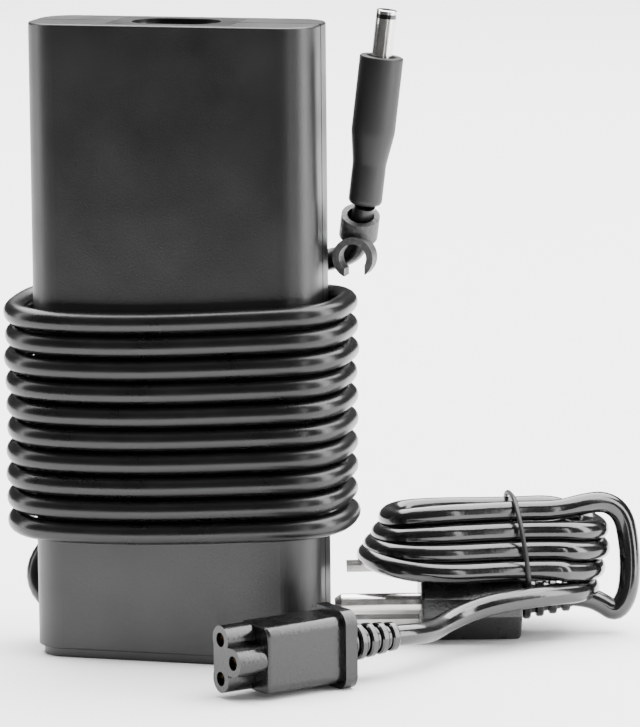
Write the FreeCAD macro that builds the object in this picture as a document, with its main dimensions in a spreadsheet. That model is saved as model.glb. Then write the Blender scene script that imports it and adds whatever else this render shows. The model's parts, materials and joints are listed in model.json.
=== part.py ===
import FreeCAD, Part
import Sketcher
import math
import os

from FreeCAD import Placement, Rotation, Vector

# A slim laptop power adapter that stands on its lower end, with its output cord wound round it,
# a clip and a barrel plug on that cord, and a separate mains lead tied in a hank beside it.
# +Z is up, +X is the brick's width, -Y is its front. The origin is the middle of the brick's foot.

DRIVING_SIZES = [
    # the brick
    ("brick_width", 66.0), ("brick_depth", 22.0), ("brick_height", 143.0), ("brick_corner", 7.5),
    ("wall", 2.0), ("edge_round", 0.5), ("foot_height", 2.0), ("foot_inset", 1.2),
    ("seam_half", 0.25), ("seam_deep", 0.4),
    # the notch low at the back left where the output cord leaves
    ("notch_length", 18.0), ("notch_height", 11.6), ("notch_depth", 7.9), ("outlet_rise", 7.6),
    ("outlet_y", 7.4), ("relief_length", 12.0), ("relief_root", 3.5), ("relief_tip", 2.9),
    # the mains inlet in the upper end
    ("plate_width", 28.0), ("plate_depth", 14.0), ("plate_gap", 0.15), ("housing_width", 22.0),
    ("housing_depth", 14.4), ("housing_height", 19.0), ("recess_depth", 16.5), ("lobe_radius", 3.5),
    ("pole_half", 4.35), ("earth_offset", 5.0), ("dish_radius", 6.1), ("dish_half", 4.0),
    ("dish_deep", 0.8), ("contact_radius", 1.18), ("inlet_pin_length", 19.5),
    # the circuit board and what stands on it
    ("board_width", 57.0), ("board_thick", 1.6), ("board_height", 104.4), ("board_y", 6.6),
    ("board_base", 14.4),
    # the output cord
    ("cord_radius", 2.45), ("coil_half_width", 37.4), ("coil_half_depth", 14.0), ("coil_low", 31.0),
    ("coil_high", 80.6), ("coil_corner", 10.5),
    # the barrel plug
    ("boot_radius", 3.75), ("collar_radius", 4.85), ("boot_length", 9.3), ("taper_end", 15.4),
    ("collar_end", 33.4), ("barrel_radius", 2.25), ("barrel_end", 43.7), ("bore_radius", 1.5),
    ("sleeve_radius", 1.8), ("centre_pin_radius", 0.35), ("boot_round", 1.2),
    # the clip on the cord
    ("ring_radius", 4.3), ("ring_bore", 3.0), ("ring_length", 5.6), ("hook_radius", 4.6),
    ("hook_bore", 3.1), ("hook_width", 4.4), ("hook_gap", 4.6),
    # the mains lead
    ("lead_radius", 2.4), ("hank_length", 62.0), ("hank_width", 34.0), ("hank_top", 32.0),
    ("hank_shelf", 17.8), ("tie_thick", 0.9), ("tie_width", 1.8), ("tie_place", 4.2), ("nose_length", 7.0), ("nose_lobe", 3.1), ("nose_hole", 1.6),
    ("connector_length", 19.0), ("connector_height", 15.0), ("connector_thick", 12.0),
    ("wing_height", 17.4), ("wing_thick", 3.0), ("lead_relief_length", 15.0),
    ("lead_relief_root", 4.4), ("lead_relief_tip", 3.0),
    ("plug_body_length", 23.0), ("plug_body_width", 25.0), ("plug_body_thick", 17.2),
    ("plug_neck_length", 12.0), ("plug_blade_facet", 2.0), ("plug_earth_facet", 6.5), ("blade_length", 16.5), ("blade_width", 6.35), ("blade_thick", 1.5),
    ("blade_half_gap", 6.35), ("blade_to_earth", 11.9), ("earth_pin_radius", 2.4),
    ("earth_pin_length", 19.5),
]

# Where the pieces on the cords stand.
PLUG_FOOT = Vector(41.4, 5.0, 102.5)          # where the cord goes into the barrel plug
PLUG_AXIS = Vector(0.1235, 0.0, 0.9923)       # the plug leans a little to the right
RING_CENTRE = Vector(39.6, 7.2, 97.6)         # the cord runs through the clip's ring here
RING_AXIS = Vector(0.22, -0.45, 0.866)        # and in this direction
HOOK_CENTRE = Vector(39.3, 4.0, 90.9)
CONNECTOR_WING = Vector(41.6, -21.6, 8.8)     # middle of the connector's rear face
CONNECTOR_TURN = 228.0                        # degrees from +X that the connector's nose points to
HANK_CENTRE = Vector(64.5, 39.0, 0.0)
HANK_TURN = 20.0                              # degrees the hank's long axis turns from +X
MAINS_PLUG_CENTRE = Vector(58.35, 32.5, 8.75)
MAINS_PLUG_TURN = 196.0                       # degrees from +X that the blades point to

# Hand-chosen routes of the cords where they aren't coiled.
LOWER_ROUTE = [(-27.0, 7.4, 7.6), (-34.2, 7.4, 7.6), (-39.2, 9.6, 14.6), (-35.2, 13.2, 22.4),
               (-25.0, 14.4, 24.6), (-10.0, 14.3, 25.4), (3.0, 14.3, 30.4)]
UPPER_ROUTE = [(-10.0, 14.3, 80.6), (4.0, 14.4, 84.6), (18.0, 14.5, 86.6), (31.2, 14.6, 88.4),
               (38.0, 12.0, 91.2), (39.6, 7.2, 97.6), (41.4, 5.0, 102.5)]
LEAD_FRONT_ROUTE = [(51.64, -10.45, 8.8), (54.98, -6.74, 8.6), (57.4, -0.6, 7.8), (58.6, 6.4, 8.2),
                    (62.4, 12.8, 9.6), (68.8, 17.6, 11.2), (76.0, 21.4, 13.0), (82.0, 25.6, 17.4),
                    (84.4, 30.6, 21.6)]
LEAD_BACK_ROUTE = [(80.94, 38.98, 8.75), (84.3, 40.14, 8.4), (87.6, 41.25, 6.8), (90.6, 41.9, 4.8)]

doc = FreeCAD.newDocument("laptop_power_adapter")
sheet = doc.addObject("Spreadsheet::Sheet", "Sizes")


class Size:
    """A length that keeps its value together with the spreadsheet expression that gives it."""

    def __init__(self, value, text):
        self.value = value
        self.text = text

    def join(self, sign, other, value):
        return Size(value, "(%s %s %s)" % (self.text, sign, other.text))

    def __add__(self, other):
        other = as_size(other)
        return self.join("+", other, self.value + other.value)

    def __sub__(self, other):
        other = as_size(other)
        return self.join("-", other, self.value - other.value)

    def __mul__(self, other):
        other = as_size(other)
        return self.join("*", other, self.value * other.value)

    def __truediv__(self, other):
        other = as_size(other)
        return self.join("/", other, self.value / other.value)

    def __neg__(self):
        return as_size(0) - self


def as_size(number):
    """A plain number becomes a Size of its own; a Size stays as it is."""
    if isinstance(number, Size):
        return number
    return Size(float(number), "%.4f" % number)


def fill_sheet():
    """One row for each driving size: its name beside its value, and the name as the alias."""
    for row, (name, value) in enumerate(DRIVING_SIZES, start=1):
        sheet.set("A%d" % row, name)
        sheet.set("B%d" % row, "%g" % value)
        sheet.setAlias("B%d" % row, name)
    doc.recompute()


def size(name):
    """The driving size of this name, ready for arithmetic and for an expression."""
    return Size(float(sheet.get(name)), "Sizes." + name)


def bind(item, **properties):
    """Bind properties of an object to sizes."""
    for name, value in properties.items():
        item.setExpression(name, as_size(value).text)


def move(item, x=0, y=0, z=0):
    """Bind an object's place to sizes."""
    for axis, value in zip("xyz", (x, y, z)):
        item.setExpression(".Placement.Base." + axis, as_size(value).text)


fill_sheet()


# ---- helpers for bodies made of sketches -------------------------------------------------

def new_body(label):
    body = doc.addObject("PartDesign::Body", label)
    body.Label = label
    return body


def new_sketch(body, role, height=0):
    """A sketch on one of the body's own planes, lifted by height along that plane's normal."""
    plane = [item for item in body.Origin.OriginFeatures if item.Role == role][0]
    sketch = body.newObject("Sketcher::SketchObject", body.Label + "_sketch")
    sketch.AttachmentSupport = [(plane, "")]
    sketch.MapMode = "FlatFace"
    sketch.setExpression(".AttachmentOffset.Base.z", as_size(height).text)
    return sketch


def fix_point(sketch, line, end, x, y):
    """Hold one end of a line, or an arc's centre, at bound distances from the sketch's origin."""
    for kind, value in (("DistanceX", x), ("DistanceY", y)):
        index = sketch.addConstraint(Sketcher.Constraint(kind, -1, 1, line, end, value.value))
        sketch.setExpression("Constraints[%d]" % index, value.text)


def polygon(sketch, corners):
    """A closed outline of straight lines through bound corners."""
    corners = [(as_size(x), as_size(y)) for x, y in corners]
    first = sketch.GeometryCount
    count = len(corners)
    for index in range(count):
        x1, y1 = corners[index]
        x2, y2 = corners[(index + 1) % count]
        start = Vector(x1.value, y1.value, 0)
        end = Vector(x2.value, y2.value, 0)
        sketch.addGeometry(Part.LineSegment(start, end), False)
    for index in range(count):
        after = (index + 1) % count
        sketch.addConstraint(Sketcher.Constraint("Coincident", first + index, 2, first + after, 1))
    for index, (x, y) in enumerate(corners):
        fix_point(sketch, first + index, 1, x, y)


def rectangle(sketch, left, right, low, high):
    polygon(sketch, [(left, low), (right, low), (right, high), (left, high)])


def rounded_rectangle(sketch, width, depth, corner):
    """A centred rectangle with round corners: four arcs joined by four tangent lines."""
    width = as_size(width)
    depth = as_size(depth)
    corner = as_size(corner)
    reach_x = width / 2 - corner
    reach_y = depth / 2 - corner
    signs = [(1, 1), (-1, 1), (-1, -1), (1, -1)]
    arcs = []
    for quarter, (sx, sy) in enumerate(signs):
        centre = Vector(sx * reach_x.value, sy * reach_y.value, 0)
        circle = Part.Circle(centre, Vector(0, 0, 1), corner.value)
        turn = quarter * math.pi / 2
        arcs.append(sketch.addGeometry(Part.ArcOfCircle(circle, turn, turn + math.pi / 2), False))
    for quarter in range(4):
        here = sketch.Geometry[arcs[quarter]]
        after = sketch.Geometry[arcs[(quarter + 1) % 4]]
        line = sketch.addGeometry(Part.LineSegment(here.EndPoint, after.StartPoint), False)
        sketch.addConstraint(Sketcher.Constraint("Tangent", arcs[quarter], 2, line, 1))
        sketch.addConstraint(Sketcher.Constraint("Tangent", line, 2, arcs[(quarter + 1) % 4], 1))
        level = "Horizontal" if quarter % 2 == 0 else "Vertical"
        sketch.addConstraint(Sketcher.Constraint(level, line))
    index = sketch.addConstraint(Sketcher.Constraint("Radius", arcs[0], corner.value))
    sketch.setExpression("Constraints[%d]" % index, corner.text)
    for arc in arcs[1:]:
        sketch.addConstraint(Sketcher.Constraint("Equal", arcs[0], arc))
    fix_point(sketch, arcs[0], 3, reach_x, reach_y)
    fix_point(sketch, arcs[2], 3, -reach_x, -reach_y)


def pad(body, sketch, length):
    feature = body.newObject("PartDesign::Pad", body.Label + "_pad")
    feature.Profile = sketch
    bind(feature, Length=length)
    doc.recompute()
    return feature


def pocket(body, sketch, length, both_ways=False, upwards=False):
    """Cut a sketch out of the body, and stop if nothing was cut."""
    before = body.Shape.Volume
    feature = body.newObject("PartDesign::Pocket", body.Label + "_pocket")
    feature.Profile = sketch
    feature.Midplane = both_ways
    feature.Reversed = upwards
    bind(feature, Length=length)
    doc.recompute()
    if body.Shape.Volume > before - 0.01:
        raise RuntimeError("a pocket of %s cut nothing" % body.Label)
    return feature


def round_edges(body, feature, radius, chosen):
    """Fillet those edges of a feature for which chosen(edge) is true."""
    names = ["Edge%d" % (n + 1) for n, edge in enumerate(feature.Shape.Edges) if chosen(edge)]
    fillet = body.newObject("PartDesign::Fillet", body.Label + "_fillet")
    fillet.Base = (feature, names)
    bind(fillet, Radius=radius)
    doc.recompute()
    return fillet


def revolved(label, profile):
    """A body turned about its own Z axis from (radius, height) corners."""
    body = new_body(label)
    sketch = new_sketch(body, "XZ_Plane")
    polygon(sketch, profile)
    turn = body.newObject("PartDesign::Revolution", label + "_turn")
    turn.Profile = sketch
    turn.ReferenceAxis = (sketch, ["V_Axis"])
    turn.Angle = 360
    doc.recompute()
    return body


# ---- helpers for primitives ----------------------------------------------------------------

def box(label, length, width, height, x=0, y=0, z=0):
    """A box centred on x and y, standing on z."""
    item = doc.addObject("Part::Box", label)
    length = as_size(length)
    width = as_size(width)
    bind(item, Length=length, Width=width, Height=height)
    move(item, as_size(x) - length / 2, as_size(y) - width / 2, z)
    return item


def rod(label, radius, length, x=0, y=0, z=0, along="z"):
    """A cylinder that starts at a point and runs along one axis."""
    item = doc.addObject("Part::Cylinder", label)
    bind(item, Radius=radius, Height=length)
    turns = {"z": Rotation(), "x": Rotation(Vector(0, 1, 0), 90), "y": Rotation(Vector(1, 0, 0), -90)}
    item.Placement = Placement(Vector(), turns[along])
    move(item, x, y, z)
    return item


def tube(label, outer, inner, length, x=0, y=0, z=0, along="z"):
    """A straight tube: one rod cut out of another that is a little shorter at both ends."""
    wall = rod(label + "_outside", outer, length, x, y, z, along)
    shift = {"x": (1, 0, 0), "y": (0, 1, 0), "z": (0, 0, 1)}[along]
    starts = [as_size(value) - step for value, step in zip((x, y, z), shift)]
    bore = rod(label + "_inside", inner, as_size(length) + 2, *starts, along)
    return cut(label, wall, bore)


def cut(label, base, tool):
    item = doc.addObject("Part::Cut", label)
    item.Base = base
    item.Tool = tool
    return item


def fuse(label, *pieces):
    """One solid made of several that touch."""
    item = doc.addObject("Part::MultiFuse", label)
    item.Shapes = list(pieces)
    item.Refine = True
    return item


def group(label, *pieces):
    """Several separate solids of one kind that share a node."""
    item = doc.addObject("Part::Compound", label)
    item.Links = list(pieces)
    return item


nodes = []


def keep(item, label, place=None):
    """Name a finished piece after its node, set it in its place, and list it for export."""
    item.Label = label
    if place is not None:
        item.Placement = place
    nodes.append(item)
    return item


# ---- the brick's case ----------------------------------------------------------------------

width = size("brick_width")
depth = size("brick_depth")
height = size("brick_height")
corner = size("brick_corner")
wall = size("wall")
foot = size("foot_height")


def cover(label, side):
    """Half of the case: side -1 is the front cover and +1 is the rear cover."""
    body = new_body(label)
    outline = new_sketch(body, "XY_Plane", foot)
    rounded_rectangle(outline, width, depth, corner)
    block = pad(body, outline, height - foot)
    ends = (foot.value, height.value)

    def at_an_end(edge):
        return any(all(abs(v.Z - end) < 0.01 for v in edge.Vertexes) for end in ends)

    round_edges(body, block, size("edge_round"), at_an_end)
    cavity = new_sketch(body, "XY_Plane", foot + wall)
    rounded_rectangle(cavity, width - wall * 2, depth - wall * 2, corner - wall)
    pocket(body, cavity, height - foot - wall * 2, upwards=True)
    other_half = new_sketch(body, "XY_Plane", -1)
    near, far = (0, depth) if side < 0 else (-depth, 0)
    rectangle(other_half, -width, width, near, far)
    pocket(body, other_half, height + 4, upwards=True)
    return body


def seam_groove(body):
    """A shallow groove along the parting line, so that the two covers show a fine seam."""
    deep = size("seam_deep")
    frame = new_sketch(body, "XZ_Plane")
    rectangle(frame, -width, width, -5, height + 5)
    rectangle(frame, deep - width / 2, width / 2 - deep, foot + deep, height - deep)
    pocket(body, frame, size("seam_half") * 2, both_ways=True)


def plate_opening(body):
    """The hole in the upper end that the inlet's face plate fills."""
    gap = size("plate_gap")
    half_x = size("plate_width") / 2 + gap
    half_y = size("plate_depth") / 2 + gap
    opening = new_sketch(body, "XY_Plane", height - wall - 1)
    rectangle(opening, -half_x, half_x, -half_y, half_y)
    pocket(body, opening, wall + 3, upwards=True)


def notch_outline(body, height_above):
    """The corner at the back left that is left free for the output cord."""
    sketch = new_sketch(body, "XY_Plane", height_above)
    inner_x = size("notch_length") - width / 2
    rectangle(sketch, -width, inner_x, depth / 2 - size("notch_depth"), depth)
    return sketch


def cord_notch(body):
    """Wall off a corner of the rear cover, cut the notch, and bore its end wall for the cord."""
    notch_end = size("notch_length") - width / 2
    notch_front = depth / 2 - size("notch_depth")
    block = new_sketch(body, "XY_Plane", foot + wall - 0.5)
    rectangle(block, wall / 2 - width / 2 + 1, notch_end + wall, notch_front - wall, depth / 2 - wall / 2)
    pad(body, block, size("notch_height") - foot + 0.5)
    pocket(body, notch_outline(body, -1), size("notch_height") + 1, upwards=True)
    bore = new_sketch(body, "YZ_Plane", notch_end - 1)
    circle(bore, size("relief_tip"), size("outlet_y"), size("outlet_rise"))
    pocket(body, bore, wall + 3, upwards=True)


def circle(sketch, radius, x, y):
    """A circle with a bound centre and radius."""
    x = as_size(x)
    y = as_size(y)
    shape = Part.Circle(Vector(x.value, y.value, 0), Vector(0, 0, 1), radius.value)
    index = sketch.addGeometry(shape, False)
    bound = sketch.addConstraint(Sketcher.Constraint("Radius", index, radius.value))
    sketch.setExpression("Constraints[%d]" % bound, radius.text)
    fix_point(sketch, index, 3, x, y)


def board_posts(body):
    """Four short posts on the rear cover's inside that the circuit board rests on."""
    back = size("board_y") + size("board_thick") / 2
    inside = depth / 2 - wall + 0.5
    posts = new_sketch(body, "XZ_Plane", -inside)
    for x in (-1, 1):
        for z in (20, 112):
            circle(posts, wall, (width / 2 - 9) * x, z)
    pad(body, posts, inside - back)


def label_recess(body):
    """A shallow flat in the rear cover's back for the rating label."""
    recess = new_sketch(body, "XZ_Plane", -(depth / 2))
    rectangle(recess, -22.2, 22.2, 89.8, 131.2)
    pocket(body, recess, 0.25, upwards=True)


def make_case():
    front = cover("front_cover", -1)
    seam_groove(front)
    plate_opening(front)
    keep(front, "front_cover")
    rear = cover("rear_cover", 1)
    seam_groove(rear)
    plate_opening(rear)
    cord_notch(rear)
    board_posts(rear)
    label_recess(rear)
    keep(rear, "rear_cover")
    inset = size("foot_inset")
    base = new_body("foot_plate")
    outline = new_sketch(base, "XY_Plane")
    rounded_rectangle(outline, width - inset * 2, depth - inset * 2, corner - inset)
    pad(base, outline, foot)
    pocket(base, notch_outline(base, -1), foot + 2, upwards=True)
    keep(base, "foot_plate")
    keep(box("rating_label", 44, 0.2, 41, 0, depth / 2 - 0.15, 90), "rating_label")


# ---- the mains inlet -----------------------------------------------------------------------

def pole_places():
    """Where the two poles and the earth sit round the middle of the connector."""
    back = size("earth_offset") / 2
    return [(-size("pole_half"), back), (size("pole_half"), back), (as_size(0), -back)]


def make_inlet():
    top = height
    plate = box("inlet_face", size("plate_width"), size("plate_depth"), wall, 0, 0, top - wall)
    flange = box("inlet_flange", size("plate_width") + 4, size("plate_depth") + 3, 1.5, 0, 0,
                 top - wall - 1.5)
    tower = box("inlet_tower", size("housing_width"), size("housing_depth"), size("housing_height"),
                0, 0, top - wall - size("housing_height"))
    solid = fuse("inlet_solid", plate, flange, tower)
    floor = top - size("recess_depth")
    hollow = []
    for number, (x, y) in enumerate(pole_places()):
        hollow.append(rod("inlet_lobe_%d" % number, size("lobe_radius"), size("recess_depth") + 1,
                          x, y, floor))
        hollow.append(rod("inlet_bore_%d" % number, size("contact_radius"), 12, x, y, floor - 10))
    half = size("pole_half")
    lobe = size("lobe_radius")
    back = size("earth_offset") / 2
    hollow.append(box("inlet_back", half * 2, lobe * 2 - 1, size("recess_depth") + 1,
                      0, back + 0.5, floor))
    hollow.append(box("inlet_middle", lobe * 2, back * 2, size("recess_depth") + 1, 0, 0, floor))
    for side in (-1, 1):
        hollow.append(rod("inlet_dish_%d" % side, size("dish_radius"), 2,
                          size("dish_half") * side, 0, top - size("dish_deep")))
    hollow.append(box("inlet_dish_middle", size("dish_half") * 2, size("dish_radius") * 2, 2,
                      0, 0, top - size("dish_deep")))
    keep(cut("inlet_cut", solid, fuse("inlet_hollow", *hollow)), "inlet_housing")
    pins = []
    for number, (x, y) in enumerate(pole_places()):
        pins.append(rod("inlet_pin_%d" % number, size("contact_radius"), size("inlet_pin_length"),
                        x, y, top - 3.5 - size("inlet_pin_length")))
    keep(group("inlet_pin_group", *pins), "inlet_pins")


# ---- what is inside ------------------------------------------------------------------------

def mounted(label, length, tall, reach, x, z, gap=0.0):
    """A box that stands on the circuit board's front face."""
    face = size("board_y") - size("board_thick") / 2
    return box(label, length, reach, tall, x, face - gap - as_size(reach) / 2, z)


def make_board():
    board = box("circuit_board", size("board_width"), size("board_thick"), size("board_height"),
                0, size("board_y"), size("board_base"))
    keep(board, "circuit_board")
    face = size("board_y") - size("board_thick") / 2
    keep(rod("fuse", 1.8, 10, -23, face - 1.8, 112, "x"), "fuse")
    keep(mounted("x_capacitor", 17, 10, 12, -17, 98), "x_capacitor")
    choke = tube("choke_core_cut", 7.2, 3.6, 9, 8, face - 9.5, 105, "y")
    keep(choke, "choke_core")
    keep(tube("choke_wire_cut", 8.4, 7.2, 7, 8, face - 8.5, 105, "y"), "choke_winding")
    keep(mounted("bridge_rectifier", 4, 14, 11, 24, 98), "bridge_rectifier")
    keep(rod("bulk_capacitor", 6.4, 30, -20, face - 6.5, 60), "bulk_capacitor")
    keep(mounted("primary_heat_sink", 1.5, 34, 12.4, 26.5, 60), "primary_heat_sink")
    keep(mounted("power_switch", 4.4, 15, 10, 23.55, 72), "power_switch")
    frame = mounted("transformer_block", 28, 26, 11.6, 4, 58)
    window = box("transformer_window", 18, 20, 18, 4, 0, 62)
    keep(cut("transformer_cut", frame, window), "transformer_core")
    keep(mounted("transformer_winding", 17.8, 17.8, 12.4, 4, 62.1), "transformer_winding")
    keep(mounted("secondary_heat_sink", 30, 1.5, 12.4, 8, 50), "secondary_heat_sink")
    keep(mounted("output_rectifier", 10, 4.4, 12, 8, 45.6), "output_rectifier")
    cans = [rod("output_can_%d" % n, 4, 12, 22 - 9 * n, face - 12, 34, "y") for n in range(3)]
    keep(group("output_can_group", *cans), "output_capacitors")
    keep(tube("output_choke_cut", 6.5, 3, 8, -18, face - 8, 40, "y"), "output_choke")
    discs = [rod("safety_disc_%d" % n, 3.2, 2.4, -9 + 8 * n, face - 3.4, 90, "x") for n in range(2)]
    keep(group("safety_disc_group", *discs), "safety_capacitors")
    wires = [rod("output_wire_%d" % n, 0.9, 14, -9 + 3 * n, face - 0.9, 4.2) for n in range(2)]
    keep(group("output_wire_group", *wires), "output_wires")


def make_linings():
    inside = wall - depth / 2
    tall = size("board_height")
    base = size("board_base")
    keep(box("shield_plate", 50, 0.3, tall, 0, inside + 0.15, base), "shield_plate")
    keep(box("insulation_sheet", 54, 0.4, tall, 0, inside + 0.5, base), "insulation_sheet")
    keep(box("thermal_pad", 16, 1.7, 16, 4, inside + 1.55, 63), "thermal_pad")


# ---- the output cord -----------------------------------------------------------------------

def make_strain_relief():
    """The tapered sleeve in the notch: a flange inside the end wall, a neck, and the taper."""
    notch_end = size("notch_length") - width / 2
    y = size("outlet_y")
    z = size("outlet_rise")
    flange = rod("relief_flange", size("relief_root") - 0.5, 1.5, notch_end + wall, y, z, "x")
    neck = rod("relief_neck", size("relief_tip"), wall, notch_end, y, z, "x")
    taper = doc.addObject("Part::Cone", "relief_taper")
    bind(taper, Radius1=size("relief_root"), Radius2=size("relief_tip"), Height=size("relief_length"))
    taper.Placement = Placement(Vector(), Rotation(Vector(0, 1, 0), -90))
    move(taper, notch_end, y, z)
    keep(fuse("relief_solid", flange, neck, taper), "output_strain_relief")


def tangent_path(points):
    """Straight runs joined by tangent arcs through hand-chosen points; prints the arcs' radii."""
    points = [Vector(*point) for point in points]
    edges = []
    start = points[0]
    radii = []
    for before, here, after in zip(points, points[1:], points[2:]):
        back = before - here
        onward = after - here
        shorter = min(back.Length, onward.Length)
        turn = math.pi - back.getAngle(onward)
        reach = 0.45 * shorter
        radii.append(reach / math.tan(turn / 2))
        back.normalize()
        onward.normalize()
        arc_start = here + back * reach
        arc_end = here + onward * reach
        middle_way = (back + onward).normalize()
        to_centre = radii[-1] / math.cos(turn / 2)
        arc_middle = here + middle_way * (to_centre - radii[-1])
        edges.append(Part.LineSegment(start, arc_start).toShape())
        edges.append(Part.Arc(arc_start, arc_middle, arc_end).toShape())
        start = arc_end
    edges.append(Part.LineSegment(start, points[-1]).toShape())
    print("  arc radii:", " ".join("%.1f" % radius for radius in radii))
    return Part.Wire(edges)


def cord_tube(label, route, radius, joined=()):
    """A cord's stretch along a route, trimmed where it meets the solid of its coil or hank."""
    print(label)
    path = tangent_path(route)
    first = path.Edges[0]
    ring = Part.Circle(first.Vertexes[0].Point, first.tangentAt(first.FirstParameter), radius.value)
    solid = path.makePipeShell([Part.Wire([ring.toShape()])], True, False)
    expected = math.pi * radius.value ** 2 * path.Length
    print("  length %.1f, volume over expected %.4f" % (path.Length, solid.Volume / expected))
    for other in joined:
        pieces = solid.cut(other.Shape).Solids
        solid = max(pieces, key=lambda piece: piece.Volume)
    item = doc.addObject("Part::Feature", label)
    item.Shape = solid
    return keep(item, label)


def make_output_cord():
    """The ten turns as one sleeve round the brick, and the two stretches that leave it."""
    radius = size("cord_radius")
    half_x = size("coil_half_width")
    half_y = size("coil_half_depth")
    bend = size("coil_corner")
    base = size("coil_low") - radius
    tall = size("coil_high") - size("coil_low") + radius * 2
    coil = new_body("output_cord_coil")
    outline = new_sketch(coil, "XY_Plane", base)
    rounded_rectangle(outline, (half_x + radius) * 2, (half_y + radius) * 2, bend + radius)
    pad(coil, outline, tall)
    inside = new_sketch(coil, "XY_Plane", base - 1)
    rounded_rectangle(inside, (half_x - radius) * 2, (half_y - radius) * 2, bend - radius)
    pocket(coil, inside, tall + 2, upwards=True)
    keep(coil, "output_cord_coil")
    cord_tube("output_cord_lower", LOWER_ROUTE, radius, [coil])
    cord_tube("output_cord_upper", UPPER_ROUTE, radius, [coil])


def make_barrel_plug():
    """The barrel plug, each piece turned about the plug's own axis and set in place."""
    place = Placement(PLUG_FOOT, Rotation(Vector(0, 0, 1), PLUG_AXIS))
    boot = size("boot_radius")
    collar = size("collar_radius")
    end = size("collar_end")
    tip = size("barrel_end")
    outer = size("barrel_radius")
    sleeve = size("sleeve_radius")
    bore = size("bore_radius")
    rounding = size("boot_round")
    mould = revolved("plug_overmould", [
        (0, 0), (boot - rounding, 0), (boot, rounding), (boot, size("boot_length")),
        (collar, size("taper_end")), (collar, end - 0.8), (collar - 0.8, end),
        (outer + 0.7, end), (outer + 0.7, end - 0.9), (1, end - 0.9), (1, end), (0, end)])
    keep(mould, "plug_overmould", place)
    ring = revolved("plug_base_ring", [
        (1, end - 0.9), (outer + 0.7, end - 0.9), (outer + 0.7, end), (1, end)])
    keep(ring, "plug_base_ring", place)
    gap = sleeve + 0.15
    barrel = revolved("plug_barrel", [
        (gap, end), (outer, end), (outer, tip - 1.9), (gap, tip - 1.9)])
    keep(barrel, "plug_barrel", place)
    insulator = revolved("plug_insulator", [
        (sleeve, end), (gap, end), (gap, tip - 1.9), (outer, tip - 1.9), (outer, tip - 0.9),
        (sleeve, tip - 0.9)])
    keep(insulator, "plug_insulator", place)
    inner = revolved("plug_inner_sleeve", [
        (bore, end), (sleeve, end), (sleeve, tip - 0.9), (outer, tip - 0.9), (outer, tip - 0.2),
        (outer - 0.2, tip), (bore, tip)])
    keep(inner, "plug_inner_sleeve", place)
    pin = size("centre_pin_radius")
    keep(revolved("plug_pin_seat", [(pin, end), (bore, end), (bore, end + 1), (pin, end + 1)]),
         "plug_pin_seat", place)
    keep(revolved("plug_centre_pin", [(0, end), (pin, end), (pin, tip - 2), (0, tip - 2)]),
         "plug_centre_pin", place)


def make_clip():
    """The clip: a ring that turns on the cord and an open hook in front of and below it."""
    length = size("ring_length")
    ring = doc.addObject("Part::Cylinder", "clip_ring")
    bind(ring, Radius=size("ring_radius"), Height=length)
    along_cord = Rotation(Vector(0, 0, 1), RING_AXIS)
    axis = along_cord.multVec(Vector(0, 0, 1))
    ring.Placement = Placement(RING_CENTRE - axis * (length.value / 2), along_cord)
    hook_start = HOOK_CENTRE.y - size("hook_width").value / 2
    hook = rod("clip_hook", size("hook_radius"), size("hook_width"),
               HOOK_CENTRE.x, hook_start, HOOK_CENTRE.z, "y")
    solid = fuse("clip_solid", ring, hook)
    bore = doc.addObject("Part::Cylinder", "clip_bore")
    bind(bore, Radius=size("ring_bore"), Height=length * 4)
    bore.Placement = Placement(RING_CENTRE - axis * (length.value * 2), along_cord)
    mouth = rod("clip_mouth", size("hook_bore"), size("hook_width") + 8,
                HOOK_CENTRE.x, hook_start - 4, HOOK_CENTRE.z, "y")
    gap = box("clip_gap", size("hook_gap"), size("hook_width") + 8, 7,
              HOOK_CENTRE.x + 0.4, HOOK_CENTRE.y, HOOK_CENTRE.z - 7)
    keep(cut("clip_cut", solid, fuse("clip_hollow", bore, mouth, gap)), "cord_clip")


# ---- the mains lead ------------------------------------------------------------------------

def ribbed_sleeve(label, root, tip, length, ribs):
    """A tapering strain relief with a ring groove after each rib, turned about its own axis."""
    root = as_size(root)
    step = length / ribs
    profile = [(0, 0), (root, 0)]
    for rib in range(ribs):
        radius = root + (tip - root) * (rib / ribs)
        profile.append((radius, step * (rib + 0.55)))
        profile.append((radius - 0.7, step * (rib + 0.6)))
        profile.append((radius - 0.7, step * (rib + 0.9)))
        profile.append((root + (tip - root) * ((rib + 1) / ribs), step * (rib + 1)))
    profile.append((0, length))
    return revolved(label, profile)


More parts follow.
